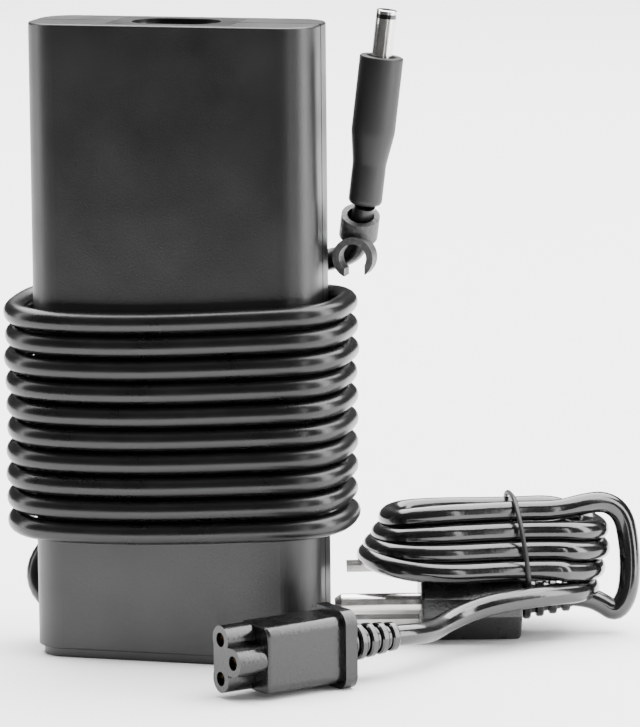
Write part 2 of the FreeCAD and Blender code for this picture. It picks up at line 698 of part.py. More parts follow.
def make_connector():
    """The three-lobed connector, lying on its narrow side; its nose points along local +X."""
    place = Placement(CONNECTOR_WING, Rotation(Vector(0, 0, 1), CONNECTOR_TURN))
    thick = size("connector_thick")
    tall = size("connector_height")
    long = size("connector_length")
    wing = size("wing_thick")
    body = new_body("connector_block")
    outline = new_sketch(body, "YZ_Plane", wing)
    rounded_rectangle(outline, thick, tall, 2.2)
    block = pad(body, outline, long)
    front = (wing + long).value
    round_edges(body, block, 0.6, lambda edge: all(abs(v.X - front) < 0.01 for v in edge.Vertexes))
    wings = new_body("connector_wings")
    wing_outline = new_sketch(wings, "YZ_Plane")
    rounded_rectangle(wing_outline, thick + 3, size("wing_height"), 3)
    pad(wings, wing_outline, wing)
    nose_base = wing + long
    lobes = []
    holes = []
    for number, (z, y) in enumerate(pole_places()):
        lobes.append(rod("nose_lobe_%d" % number, size("nose_lobe"), size("nose_length"),
                         nose_base, -y, z, "x"))
        holes.append(rod("nose_hole_%d" % number, size("nose_hole"), 18,
                         nose_base + size("nose_length") - 17, -y, z, "x"))
    back = size("earth_offset") / 2
    lobes.append(box("nose_web", size("nose_length"), size("earth_offset"), size("nose_lobe") * 2,
                     nose_base + size("nose_length") / 2, 0, -size("nose_lobe")))
    lobes.append(box("nose_spine", size("nose_length"), size("nose_lobe") * 2 - 1.4,
                     size("pole_half") * 2, nose_base + size("nose_length") / 2,
                     -back - 0.4, -size("pole_half")))
    solid = fuse("connector_solid", body, wings, *lobes)
    keep(cut("connector_cut", solid, fuse("connector_holes", *holes)), "connector_body", place)
    contacts = []
    for number, (z, y) in enumerate(pole_places()):
        contacts.append(tube("contact_%d" % number, size("nose_hole"), size("contact_radius"), 14,
                             nose_base + size("nose_length") - 15.5, -y, z, "x"))
    keep(group("contact_group", *contacts), "connector_contacts", place)
    relief = ribbed_sleeve("connector_relief", size("lead_relief_root"), size("lead_relief_tip"),
                           size("lead_relief_length"), 5)
    backwards = Placement(Vector(), Rotation(Vector(0, 1, 0), -90))
    keep(relief, "connector_relief", place.multiply(backwards))


def make_mains_plug():
    """The wall plug, lying on its side; its blades point along local +X."""
    place = Placement(MAINS_PLUG_CENTRE, Rotation(Vector(0, 0, 1), MAINS_PLUG_TURN))
    long = size("plug_body_length")
    half_y = size("plug_body_width") / 2
    half_z = size("plug_body_thick") / 2
    facet = size("plug_blade_facet")
    nose_facet = size("plug_earth_facet")
    body = new_body("mains_plug_block")
    outline = new_sketch(body, "YZ_Plane", long / -2)
    polygon(outline, [
        (facet - half_y, -half_z), (half_y - nose_facet, -half_z), (half_y, nose_facet - half_z),
        (half_y, half_z - nose_facet), (half_y - nose_facet, half_z), (facet - half_y, half_z),
        (-half_y, half_z - facet), (-half_y, facet - half_z)])
    block = pad(body, outline, long)
    ends = (long.value / 2, -long.value / 2)
    round_edges(body, block, 1.0,
                lambda edge: any(all(abs(v.X - end) < 0.01 for v in edge.Vertexes) for end in ends))
    keep(body, "mains_plug_body", place)
    blade_y = -(size("blade_to_earth") / 2)
    blades = []
    for side in (-1, 1):
        blades.append(box("blade_%d" % side, size("blade_length"), size("blade_width"),
                          size("blade_thick"), long / 2 + size("blade_length") / 2, blade_y,
                          size("blade_half_gap") * side - size("blade_thick") / 2))
    keep(group("blade_group", *blades), "mains_plug_blades", place)
    earth = new_body("mains_plug_earth")
    radius = size("earth_pin_radius")
    length = size("earth_pin_length")
    sketch = new_sketch(earth, "XZ_Plane")
    polygon(sketch, [(0, 0), (radius, 0), (radius, length - 1.5), (radius - 1, length), (0, length)])
    turn = earth.newObject("PartDesign::Revolution", "earth_turn")
    turn.Profile = sketch
    turn.ReferenceAxis = (sketch, ["V_Axis"])
    turn.Angle = 360
    forwards = Placement(Vector(long.value / 2, -blade_y.value, 0), Rotation(Vector(0, 1, 0), 90))
    keep(earth, "mains_plug_earth_pin", place.multiply(forwards))
    neck = ribbed_sleeve("mains_plug_neck", 5.2, size("lead_relief_tip"), size("plug_neck_length"), 4)
    backwards = Placement(Vector(-long.value / 2, 0, 0), Rotation(Vector(0, 1, 0), -90))
    keep(neck, "mains_plug_neck", place.multiply(backwards))


def make_tie(place):
    """The thin band that holds the hank's turns together."""
    thick = size("tie_thick")
    wide = size("hank_width")
    gap = 0.25
    low = size("hank_shelf") - gap
    high = size("hank_top") + gap
    centre = (low + high) / 2
    tie = new_body("mains_lead_tie")
    for grow, cuts in ((thick, False), (as_size(0), True)):
        outline = new_sketch(tie, "YZ_Plane", size("tie_place"))
        outline.setExpression(".AttachmentOffset.Base.y", centre.text)
        rounded_rectangle(outline, wide + gap * 2 + grow * 2, high - low + grow * 2, 0.4)
        if cuts:
            pocket(tie, outline, size("tie_width") * 3, both_ways=True)
        else:
            pad(tie, outline, size("tie_width"))
    keep(tie, "mains_lead_tie", place)


def hank_part(label, place, profile):
    """The hank's oblong plan, kept only where its side view lies inside a profile."""
    long = size("hank_length")
    wide = size("hank_width")
    stack = new_body(label + "_stack")
    outline = new_sketch(stack, "XY_Plane")
    rounded_rectangle(outline, long, wide, wide / 2 - 0.5)
    pad(stack, outline, size("hank_top"))
    side = new_body(label + "_side")
    polygon_sketch = new_sketch(side, "XZ_Plane", -wide)
    polygon(polygon_sketch, profile)
    pad(side, polygon_sketch, wide * 2)
    hank = doc.addObject("Part::Common", label + "_common")
    hank.Base = stack
    hank.Tool = side
    return keep(hank, label, place)


def make_lead():
    """The hank: it lies on the wall plug, and its right end comes down to the ground."""
    left = size("hank_length") / -2 - 1
    right = size("hank_length") / 2 + 1
    top = size("hank_top")
    shelf = size("hank_shelf")
    place = Placement(HANK_CENTRE, Rotation(Vector(0, 0, 1), HANK_TURN))
    upper = hank_part("mains_lead_hank", place, [
        (left, shelf), (right, shelf), (right, top - 2), (6, top), (left, top - 1)])
    lower = hank_part("mains_lead_hank_end", place, [
        (17, shelf), (24, 0.4), (right, 0.4), (right, shelf)])
    make_tie(place)
    doc.recompute()
    radius = size("lead_radius")
    cord_tube("mains_lead_front", LEAD_FRONT_ROUTE, radius, [upper, lower])
    cord_tube("mains_lead_back", LEAD_BACK_ROUTE, radius, [lower])


def check_and_write():
    """Stop on any failed object or bad shape, then write one STEP file for each node."""
    doc.recompute()
    for item in doc.Objects:
        if "Invalid" in item.State or "Error" in item.State:
            raise RuntimeError("%s failed: %s" % (item.Label, item.State))
    os.makedirs("parts", exist_ok=True)
    for item in nodes:
        shape = item.Shape
        if shape.isNull() or not shape.isValid():
            raise RuntimeError("%s has a bad shape" % item.Label)
        shape.exportStep(os.path.join("parts", item.Label + ".step"))
        reach = shape.BoundBox
        print("%-22s %2d solids  x %6.1f %6.1f  y %6.1f %6.1f  z %6.1f %6.1f" % (
            item.Label, len(shape.Solids), reach.XMin, reach.XMax, reach.YMin, reach.YMax,
            reach.ZMin, reach.ZMax))


make_case()
make_inlet()
make_board()
make_linings()
make_strain_relief()
make_output_cord()
make_barrel_plug()
make_clip()
make_connector()
make_mains_plug()
make_lead()
check_and_write()
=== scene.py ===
# %% [markdown]
# # A laptop power adapter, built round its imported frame
# The brick, its plug and its connectors come from the frame with their sizes fixed. What is made
# here is what a drawing program does badly: long turns of cable under tension, a tied hank, soft
# mouldings with rounded shoulders, and the finishes. Everything is in metres, where the frame is.

# %% Load the frame
import json
import math
import bmesh
import bpy
from mathutils import Matrix, Vector


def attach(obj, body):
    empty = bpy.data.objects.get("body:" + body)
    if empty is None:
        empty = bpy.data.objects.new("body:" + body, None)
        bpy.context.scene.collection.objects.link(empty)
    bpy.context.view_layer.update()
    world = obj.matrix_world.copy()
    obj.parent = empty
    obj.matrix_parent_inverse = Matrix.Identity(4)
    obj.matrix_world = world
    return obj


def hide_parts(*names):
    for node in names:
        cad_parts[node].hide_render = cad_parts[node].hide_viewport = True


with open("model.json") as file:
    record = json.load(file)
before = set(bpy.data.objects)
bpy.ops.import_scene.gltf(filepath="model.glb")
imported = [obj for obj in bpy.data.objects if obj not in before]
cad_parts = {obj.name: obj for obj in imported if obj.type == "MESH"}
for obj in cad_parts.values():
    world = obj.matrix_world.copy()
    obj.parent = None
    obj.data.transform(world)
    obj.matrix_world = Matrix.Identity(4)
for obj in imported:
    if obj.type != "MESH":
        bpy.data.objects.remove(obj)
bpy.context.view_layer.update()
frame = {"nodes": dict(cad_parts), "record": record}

scene = bpy.context.scene

# %% [markdown]
# ## Small tools
# The real object is read in millimetres, so one function turns a list of millimetre points into
# metres. Colours are chosen as sRGB hex values, as a paint card gives them, but a shader works in
# linear light, so one function converts them. One function adds any node with its settings and
# its links, which keeps the materials short enough to read.

# %% Units, colour and nodes
MM = 0.001


def metres(points):
    return [Vector(point) * MM for point in points]


def linear(hex_colour):
    """An sRGB hex colour as linear RGBA."""
    channels = [int(hex_colour[i:i + 2], 16) / 255 for i in (1, 3, 5)]
    return [c / 12.92 if c <= 0.04045 else ((c + 0.055) / 1.055) ** 2.4 for c in channels] + [1.0]


def add_node(tree, kind, inputs=None, **settings):
    """Add a node. Inputs hold plain values, or the sockets of other nodes to link."""
    node = tree.nodes.new(kind)
    for name, value in settings.items():
        setattr(node, name, value)
    for name, value in (inputs or {}).items():
        if isinstance(value, bpy.types.NodeSocket):
            tree.links.new(value, node.inputs[name])
        else:
            node.inputs[name].default_value = value
    return node


print("mid grey in linear light:", round(linear("#808080")[0], 3))

# %% [markdown]
# ## The viewpoint
# The brick is seen from its right, a little above: its front is broad and its rounded right side
# is a narrow band. A long lens keeps the upright edges parallel. The camera is placed from its two
# angles and its distance to a point on the object, and it rolls by half a degree.

# %% Camera
AZIMUTH = math.radians(15.0)
ELEVATION = math.radians(9.54)
ROLL = math.radians(-0.534)
DISTANCE = 1.1
LOOK_AT = Vector((0.03215, 0.0, 0.06737))

back = Vector((math.sin(AZIMUTH) * math.cos(ELEVATION),
               -math.cos(AZIMUTH) * math.cos(ELEVATION), math.sin(ELEVATION)))
level = Vector((math.cos(AZIMUTH), math.sin(AZIMUTH), 0))
upright = back.cross(level)
right = level * math.cos(ROLL) + upright * math.sin(ROLL)
up = upright * math.cos(ROLL) - level * math.sin(ROLL)

camera_data = bpy.data.cameras.new("camera")
camera_data.sensor_fit = "HORIZONTAL"
camera_data.sensor_width = 36.0
camera_data.lens = 278.7
camera_data.dof.use_dof = False
camera = bpy.data.objects.new("camera", camera_data)
turn = Matrix((right, up, back)).transposed().to_4x4()
camera.matrix_world = Matrix.Translation(LOOK_AT + back * DISTANCE) @ turn
scene.collection.objects.link(camera)
scene.camera = camera
print("camera stands at", [round(v, 3) for v in camera.matrix_world.translation])

# %% [markdown]
# ## A table and soft light
# Black plastic shows little but what it reflects, so the light is what draws it. Tall narrow soft
# boxes at the left and right leave upright bands on the brick's rounded edges. A broad one overhead
# lights the upper end, and the pale table lights the underside of each turn of cable. The table
# ends a little in front of the object, so that the dark room is what the brick's front reflects.

# %% Floor and lights
FLOOR_HALF = 3.0
FLOOR_FRONT = -0.24
floor_mesh = bpy.data.meshes.new("floor")
corners = [(-FLOOR_HALF, FLOOR_FRONT, 0), (FLOOR_HALF, FLOOR_FRONT, 0),
           (FLOOR_HALF, FLOOR_HALF, 0), (-FLOOR_HALF, FLOOR_HALF, 0)]
floor_mesh.from_pydata(corners, [], [(0, 1, 2, 3)])
floor = bpy.data.objects.new("floor", floor_mesh)
scene.collection.objects.link(floor)
paper = bpy.data.materials.new("matte_white_paper")
paper.use_nodes = True
paper.node_tree.nodes["Principled BSDF"].inputs["Base Color"].default_value = linear("#fafafa")
paper.node_tree.nodes["Principled BSDF"].inputs["Roughness"].default_value = 0.9
floor_mesh.materials.append(paper)

world = bpy.data.worlds.new("studio")
world.use_nodes = True
world.node_tree.nodes["Background"].inputs["Color"].default_value = (1, 1, 1, 1)
world.node_tree.nodes["Background"].inputs["Strength"].default_value = 0.14
scene.world = world


def soft_box(name, place, target, width, height, power):
    """A rectangular area light at a place, turned to face a target."""
    light = bpy.data.lights.new(name, "AREA")
    light.shape = "RECTANGLE"
    light.size = width
    light.size_y = height
    light.energy = power
    lamp = bpy.data.objects.new(name, light)
    away = Vector(place) - Vector(target)
    lamp.rotation_euler = away.to_track_quat("Z", "Y").to_euler()
    lamp.location = place
    scene.collection.objects.link(lamp)


soft_box("overhead", (0.1, 0.7, 1.7), (0.05, 0.4, 0.0),
         width=3.0, height=2.4, power=260.0)
soft_box("left_strip", (-0.9, -0.2, 0.35), (0, 0, 0.07),
         width=0.16, height=1.1, power=5.0)
soft_box("right_strip", (0.85, -0.05, 0.35), (0, 0, 0.07),
         width=0.3, height=1.1, power=12.0)
soft_box("front_right_strip", (0.62, -0.85, 0.4), (0, 0, 0.07),
         width=0.1, height=1.0, power=2.5)

# %% [markdown]
# ## How a finish is built
# Every finish here is a real plastic or metal with a slightly uneven surface. Each starts from a
# Principled shader with the colour, roughness, metallic and index of refraction of that material.
# Two noises then break it up: a coarse one drifts the colour and the roughness, as handling and
# moulding do, and a fine one is the grain that the mould or the die left. Object coordinates are
# in metres, so a grain of so many millimetres is a noise whose scale is a thousand over that.

# %% A base for all finishes


def finish(name, dark, light, roughness, metallic=0.0, ior=1.5, drift_mm=14.0, grain_mm=0.3,
           bump=0.15, uneven=0.06):
    """A material with drifting colour and roughness and a fine grain; returns (material, shader)."""
    material = bpy.data.materials.new(name)
    material.use_nodes = True
    tree = material.node_tree
    shader = tree.nodes["Principled BSDF"]
    place = add_node(tree, "ShaderNodeTexCoord")
    drift = add_node(tree, "ShaderNodeTexNoise",
                     {"Vector": place.outputs["Object"], "Scale": 1000 / drift_mm, "Detail": 4.0})
    tone = add_node(tree, "ShaderNodeMix", {"Factor": drift.outputs["Fac"], 6: linear(dark),
                                            7: linear(light)}, data_type="RGBA")
    grain = add_node(tree, "ShaderNodeTexNoise",
                     {"Vector": place.outputs["Object"], "Scale": 1000 / grain_mm, "Detail": 2.0})
    spread = add_node(tree, "ShaderNodeMapRange", {
        "Value": drift.outputs["Fac"], "From Min": 0.3, "From Max": 0.7,
        "To Min": roughness - uneven, "To Max": roughness + uneven})
    relief = add_node(tree, "ShaderNodeBump", {
        "Height": grain.outputs["Fac"], "Strength": bump, "Distance": grain_mm * MM * 0.3})
    tree.links.new(tone.outputs[2], shader.inputs["Base Color"])
    tree.links.new(spread.outputs["Result"], shader.inputs["Roughness"])
    tree.links.new(relief.outputs["Normal"], shader.inputs["Normal"])
    shader.inputs["Metallic"].default_value = metallic
    shader.inputs["IOR"].default_value = ior
    return material, shader


# %% [markdown]
# ## The plastics that show
# The case is a polycarbonate and ABS blend moulded in a spark-eroded tool, which leaves a fine
# even sparkle and turns reflections into broad soft bands. The output cord has a satin jacket, the
# mains lead a glossy one, because soft PVC cools against a polished die. The plug's handle is a
# thermoplastic elastomer with hardly any shine, and the clip is nylon, mottled where it flowed.

# %% Finishes of the visible pieces


def spark_eroded_case():
    return finish("spark_eroded_pc_abs", "#070708", "#0d0d0e", 0.4, ior=1.58, grain_mm=0.35,
                  bump=0.35, uneven=0.05)[0]


def smooth_case():
    return finish("smooth_moulded_pc_abs", "#060607", "#0c0c0d", 0.33, ior=1.58, grain_mm=0.5,
                  bump=0.08)[0]


def satin_jacket():
    return finish("satin_extruded_tpe_jacket", "#050505", "#0b0b0b", 0.3, ior=1.5, grain_mm=0.6,
                  drift_mm=9.0, bump=0.12, uneven=0.05)[0]


def glossy_jacket():
    material, shader = finish("glossy_extruded_pvc_jacket", "#070707", "#0e0e0e", 0.2, ior=1.53,
                              grain_mm=1.2, drift_mm=7.0, bump=0.1, uneven=0.06)
    shader.inputs["Coat Weight"].default_value = 0.5
    shader.inputs["Coat Roughness"].default_value = 0.08
    return material


def moulded_pvc():
    return finish("moulded_pvc", "#060606", "#0d0d0d", 0.26, ior=1.53, grain_mm=0.7, drift_mm=6.0,
                  bump=0.25, uneven=0.08)[0]


def soft_elastomer():
    return finish("soft_touch_elastomer", "#0c0c0c", "#121212", 0.5, ior=1.48, grain_mm=0.25,
                  bump=0.4)[0]


def hard_gloss_black():
    return finish("polished_phenolic", "#050505", "#0a0a0a", 0.16, ior=1.6, bump=0.05)[0]


def mottled_nylon():
    return finish("moulded_nylon", "#111111", "#4b4b4b", 0.5, ior=1.53, grain_mm=0.8, drift_mm=1.6,
                  bump=0.8, uneven=0.1)[0]


def nickel_plate():
    """Bright nickel over brass: the plating shows fine turning marks from the lathe."""
    return finish("bright_nickel_plate", "#c9c8c4", "#e3e2de", 0.2, metallic=1.0, grain_mm=0.2,
                  drift_mm=2.0, bump=0.05, uneven=0.05)[0]


def brass_contact():
    return finish("drawn_brass", "#a8874a", "#cfae6a", 0.3, metallic=1.0, grain_mm=0.3)[0]


def label_film():
    return finish("satin_label_film", "#151516", "#1a1a1b", 0.28, ior=1.49, grain_mm=1.5)[0]


# %% [markdown]
# ## What is inside
# The case hides these, but each piece still gets what it is made of, so that an opened or cut
# model reads rightly: green solder mask over glass fibre, sintered ferrite, enamelled copper,
# pressed aluminium, polyester tape, dipped ceramic and black epoxy.

# %% Finishes of the hidden pieces
INNER = {
    "board": ("solder_mask_on_fr4", "#0f3d22", "#175431", 0.35, 0.0, 1.0),
    "ceramic": ("glazed_ceramic_tube", "#c9c2b0", "#ddd6c6", 0.25, 0.0, 2.0),
    "ceramic_blue": ("dipped_ceramic", "#1a3f8c", "#2a56a8", 0.4, 0.0, 1.0),
    "film_capacitor": ("filled_polyester_box", "#b89316", "#d0aa28", 0.45, 0.0, 0.5),
    "ferrite": ("sintered_ferrite", "#2b2b2e", "#3a3a3e", 0.6, 0.0, 0.2),
    "copper_wire": ("enamelled_copper", "#8a3f1a", "#b4602c", 0.28, 1.0, 0.4),
    "chip_epoxy": ("moulded_epoxy", "#131314", "#1c1c1e", 0.55, 0.0, 0.2),
    "capacitor_sleeve": ("shrunk_pvc_sleeve", "#0d1030", "#171b48", 0.25, 0.0, 2.0),
    "aluminium_sheet": ("pressed_aluminium", "#b9babd", "#d2d3d6", 0.35, 1.0, 0.6),
    "tape": ("polyester_tape", "#c9a227", "#dcb944", 0.3, 0.0, 1.5),
    "thermal_rubber": ("silicone_thermal_pad", "#8f949c", "#a9adb5", 0.7, 0.0, 0.3),
}
finishes = {
    "case_plastic": spark_eroded_case(), "foot_plastic": smooth_case(),
    "inlet_plastic": smooth_case(), "label_film": label_film(), "contact_metal": brass_contact(),
    "soft_black": soft_elastomer(), "hard_black": hard_gloss_black(), "output_cord": satin_jacket(),
    "nickel": nickel_plate(), "clip_nylon": mottled_nylon(), "connector_plastic": moulded_pvc(),
    "mains_cord": glossy_jacket(),
}
for slot_name, (name, dark, light, rough, metal, grain_mm) in INNER.items():
    finishes[slot_name] = finish(name, dark, light, rough, metal, grain_mm=grain_mm)[0]

for part in frame["record"]["subparts"]:
    node = frame["nodes"][part["node"]]
    node.data.materials.clear()
    node.data.materials.append(finishes[part["material_slot"]])
print("finishes:", len(finishes))

# %% [markdown]
# ## Cable as a curve
# A cable bends smoothly, so its centre line is one NURBS curve of order three, which cuts the
# corners of its control points as a springy cable does. A round bevel gives it its thickness, and
# its ends are left flat, because they sit inside a moulding.

# %% A curve with a round section


def cable(name, points, radius, slot_name, closed=False):
    """A curve object along control points in metres, with a round section."""
    data = bpy.data.curves.new(name, "CURVE")
    data.dimensions = "3D"
    data.bevel_depth = radius
    data.bevel_resolution = 6
    data.resolution_u = 5
    data.use_fill_caps = not closed
    spline = data.splines.new("NURBS")
    spline.points.add(len(points) - 1)
    for control, point in zip(spline.points, points):
        control.co = (*point, 1.0)
    spline.use_cyclic_u = closed
    spline.order_u = 3
    spline.use_endpoint_u = not closed
    piece = bpy.data.objects.new(name, data)
    scene.collection.objects.link(piece)
    data.materials.append(finishes[slot_name])
    return piece


# %% [markdown]
# ## The output cord
# The cord leaves low at the back left, loops out past the edge, and is wound nine and a half times
# round the brick from the bottom up. Each turn is a rounded rectangle that climbs behind the brick
# and dips a little across the front, because it is pulled tight over the far corner first. The
# turns don't lie quite true: each reaches out a little differently at its ends.

# %% Where a turn runs
TURN_PITCH = 5.27
TOP_LEFT = 78.4            # height of the first turn at the left end, mm
TURN_COUNT = 9.5
SIDE_DIP = 1.9             # how far a turn dips across the front and rises behind, mm
END_CLIMB = 2.42           # half of how far a turn is lifted at its right end, mm
HALF_X = 37.4
HALF_Y = 14.0
BEND = 10.5
LEFT_SLACK = (0.5, 0.2, 0.6, 0.3, 0.2, -0.1, -0.4, -0.5, -0.4, -0.3)
RIGHT_SLACK = (0.2, -0.3, -0.5, 0.0, 0.2, -0.2, 0.1, 0.1, 0.0, 0.6)
END_ONLY = 4               # a high power, so the slack only reaches a turn's two ends
POINTS_PER_TURN = 28

quarter_arc = math.pi / 2 * BEND
half_side = HALF_Y - BEND
half_front = HALF_X - BEND
quarter_lap = half_side + quarter_arc + half_front
QUARTERS = ((-1, -1), (1, -1), (1, 1), (-1, 1))


def round_the_brick(u):
    """Plan position on a turn: u is 0 at the left end, 0.25 in front, 0.5 right and 0.75 behind."""
    quarter = int(u * 4) % 4
    along = u * 4 % 1.0
    way = quarter_lap * (along if quarter % 2 == 0 else 1 - along)
    angle = min(max((way - half_side) / BEND, 0.0), math.pi / 2)
    straight_on = max(way - half_side - quarter_arc, 0.0)
    x = half_front + BEND * math.cos(angle) - straight_on
    y = min(way, half_side) + BEND * math.sin(angle)
    side, face = QUARTERS[quarter]
    return side * x, face * y


def coil_point(t):
    """The cord's centre after t turns from the top, in millimetres."""
    x, y = round_the_brick(t % 1.0)
    left = LEFT_SLACK[min(max(round(t), 0), 9)]
    slack = left if x < 0 else RIGHT_SLACK[min(max(int(t), 0), 9)]
    x += math.copysign(slack, x) * (abs(x) / HALF_X) ** END_ONLY
    wave = 2 * math.pi * t
    z = TOP_LEFT - TURN_PITCH * t - SIDE_DIP * math.sin(wave) + END_CLIMB * (1 - math.cos(wave))
    return x, y, z


print("one turn is %.1f mm long" % (quarter_lap * 4))


# %% [markdown]
# ## The whole output cord as one spline
# Outside the coil the route is a short list of given points, the same ones that the frame's
# tube follows. Inside it a loop works the points out, from the bottom turn to the top one. The
# cord ends inside the plug's handle.

# %% Output cord
CORD_RADIUS = 0.00245
LOWER_ROUTE = [(-27.0, 7.4, 7.6), (-34.2, 7.4, 7.6), (-39.2, 9.6, 14.6), (-35.2, 13.2, 22.4),
               (-25.0, 14.4, 24.6), (-10.0, 14.3, 26.6)]
UPPER_ROUTE = [(-24.0, 14.2, 80.4), (-10.0, 14.3, 81.8), (4.0, 14.4, 84.6), (18.0, 14.5, 86.6),
               (31.2, 14.6, 88.4), (38.0, 12.0, 91.2), (39.6, 7.2, 97.6), (41.4, 5.0, 102.5)]

# Turns are counted from the top. The coil starts behind the brick and ends behind its left end.
first_turn = -0.11
last_turn = TURN_COUNT + 0.22
steps = round((last_turn - first_turn) * POINTS_PER_TURN)
coil = [coil_point(last_turn + (first_turn - last_turn) * n / steps) for n in range(steps + 1)]
cord_points = metres(LOWER_ROUTE + coil + UPPER_ROUTE)
output_cord = cable("output_cord", cord_points, CORD_RADIUS, "output_cord")
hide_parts("output_cord_coil", "output_cord_lower", "output_cord_upper")
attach(output_cord, "adapter")
print("output cord:", len(cord_points), "control points")

# %% [markdown]
# ## The mains lead in its hank
# The lead is folded over and over into a flat loop about six centimetres long, and tied. It lies
# on its own wall plug at the left and slumps to the table at the right. Each turn sits in the
# groove between the turns under it, so the turns step inward as they rise, and at the left they
# fan out, because nothing ties them there. A small frame of its own turns the hank to its place.

# %% Where the hank lies
LEAD_RADIUS = 0.0024
HANK_CENTRE = Vector((64.5, 39.0, 0.0))
HANK_TURN = math.radians(20.0)
hank_turn = Matrix.Rotation(HANK_TURN, 3, "Z")


def hank_point(along, across, height):
    """A point given along, across and above the hank, in the frame's millimetres."""
    return tuple(HANK_CENTRE + hank_turn @ Vector((along, across, height)))


# Heights and reaches of the turns, bottom first: each front run, right end, back run, left end.
HANK_TURNS = 4
FRONT_ACROSS = (-17.4, -14.9, -12.4, -9.9, -7.2)
FRONT_HEIGHT = (12.0, 16.6, 20.6, 24.6, 28.8)
BACK_ACROSS = (14.4, 12.8, 10.8, 8.6)
BACK_HEIGHT = (14.0, 18.4, 22.6, 27.2)
LEFT_REACH = (-31.8, -30.2, -28.2, -26.4)
LEFT_HEIGHT = (18.6, 20.6, 23.2, 26.8)
RIGHT_REACH = (20.6, 22.0, 23.0, 22.6)
RIGHT_HEIGHT = (10.2, 14.6, 19.0, 23.4)


def fold(reach, start, middle, end, sign):
    """Five points round one end of a turn, from the run before it to the run after it."""
    (start_across, start_height), (end_across, end_height) = start, end
    radius = abs(end_across - start_across) / 2
    centre = (start_across + end_across) / 2
    points = []
    for step in range(5):
        angle = math.pi * (step + 0.5) / 5
        share = (step + 0.5) / 5
        along = reach - sign * radius + sign * radius * math.sin(angle)
        across = centre + math.copysign(radius, start_across - centre) * math.cos(angle)
        blend = math.sin(angle)
        height = (start_height * (1 - share) + end_height * share) * (1 - blend) + middle * blend
        points.append(hank_point(along, across, height))
    return points


def run(across, height, places):
    """Points of a run along the hank: each place says how far along, and how far it bows out."""
    return [hank_point(along, across + bow, height) for along, bow in places]


FRONT_PLACES = ((-13.0, -0.5), (-5.0, 0.6), (4.0, 1.2), (12.0, 0.4))
BACK_PLACES = ((12.0, 0.2), (4.0, -1.0), (-5.0, -0.5), (-13.0, 0.4))
hank = []
for turn in range(HANK_TURNS):
    front = (FRONT_ACROSS[turn], FRONT_HEIGHT[turn])
    back_run = (BACK_ACROSS[turn], BACK_HEIGHT[turn])
    after = (FRONT_ACROSS[turn + 1], FRONT_HEIGHT[turn + 1])
    hank += fold(RIGHT_REACH[turn], front, RIGHT_HEIGHT[turn], back_run, 1)
    hank += run(*back_run, BACK_PLACES)
    hank += fold(LEFT_REACH[turn], back_run, LEFT_HEIGHT[turn], after, -1)
    hank += run(*after, FRONT_PLACES)
print("hank:", len(hank), "points")

# %% [markdown]
# ## The lead from end to end
# From the connector the lead runs back under the front of the hank and becomes its lowest run. At
# the other end the last turn stands up at the right in a loose loop, then comes down inside the
# hank into the neck of the wall plug.

# %% Mains lead
LEAD_FRONT_ROUTE = [(51.64, -10.45, 8.8), (54.98, -6.74, 8.6), (57.4, -0.6, 7.8), (58.6, 6.4, 8.2),
                    (62.4, 12.8, 9.6), (68.8, 17.6, 11.2)]
last_fold = [(18.0, -5.2, 30.0), (23.6, -3.2, 30.2), (27.6, -2.6, 27.0), (28.8, -3.6, 21.0),
             (29.0, -5.0, 14.6), (28.2, -6.0, 8.4)]
LEAD_BACK_ROUTE = [(90.6, 41.9, 4.6), (87.6, 41.25, 6.8), (84.3, 40.14, 8.4), (80.94, 38.98, 8.75)]

lead_points = LEAD_FRONT_ROUTE + hank + [hank_point(*point) for point in last_fold]
lead_points += LEAD_BACK_ROUTE
mains_lead = cable("mains_lead", metres(lead_points), LEAD_RADIUS, "mains_cord")
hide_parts("mains_lead_hank", "mains_lead_hank_end", "mains_lead_front",
            "mains_lead_back")
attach(mains_lead, "lead")
print("mains lead:", len(lead_points), "control points")

# %% [markdown]
# ## Pieces made as meshes
# A finished mesh goes to its place before anything else is said of it, because every piece's
# object stands at the origin. One function makes the object, shades it smooth, gives it its finish
# and sets it on its body. Another turns a profile about an axis, as a lathe does, and closes both
# poles, so the result is a solid.

# %% Mesh helpers


def piece_from(name, form, slot_name, body, place=None, sharp_degrees=35.0):
    """Make an object from a bmesh in millimetres, in its place, with its finish and its body."""
    bmesh.ops.remove_doubles(form, verts=form.verts, dist=1e-4)
    bmesh.ops.recalc_face_normals(form, faces=form.faces)
    if place is not None:
        bmesh.ops.transform(form, matrix=place, verts=form.verts)
    bmesh.ops.scale(form, vec=(MM, MM, MM), verts=form.verts)
    for face in form.faces:
        face.smooth = True
    for edge in form.edges:
        edge.smooth = edge.calc_face_angle(0.0) < math.radians(sharp_degrees)
    mesh = bpy.data.meshes.new(name)
    form.to_mesh(mesh)
    form.free()
    mesh.materials.append(finishes[slot_name])
    piece = bpy.data.objects.new(name, mesh)
    scene.collection.objects.link(piece)
    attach(piece, body)
    return piece


def turned(profile, sides=64):
    """A closed solid turned about Z from (radius, height) points; the first and last are poles."""
    form = bmesh.new()
    rings = []
    for radius, height in profile:
        if radius == 0:
            rings.append([form.verts.new((0, 0, height))])
            continue
        ring = []
        for step in range(sides):
            angle = 2 * math.pi * step / sides
            ring.append(form.verts.new((radius * math.cos(angle), radius * math.sin(angle), height)))
        rings.append(ring)
    for low, high in zip(rings, rings[1:]):
        for step in range(sides):
            after = (step + 1) % sides
            corners = [low[step % len(low)], low[after % len(low)],
                       high[after % len(high)], high[step % len(high)]]
            unique = list(dict.fromkeys(corners))
            form.faces.new(unique)
    return form


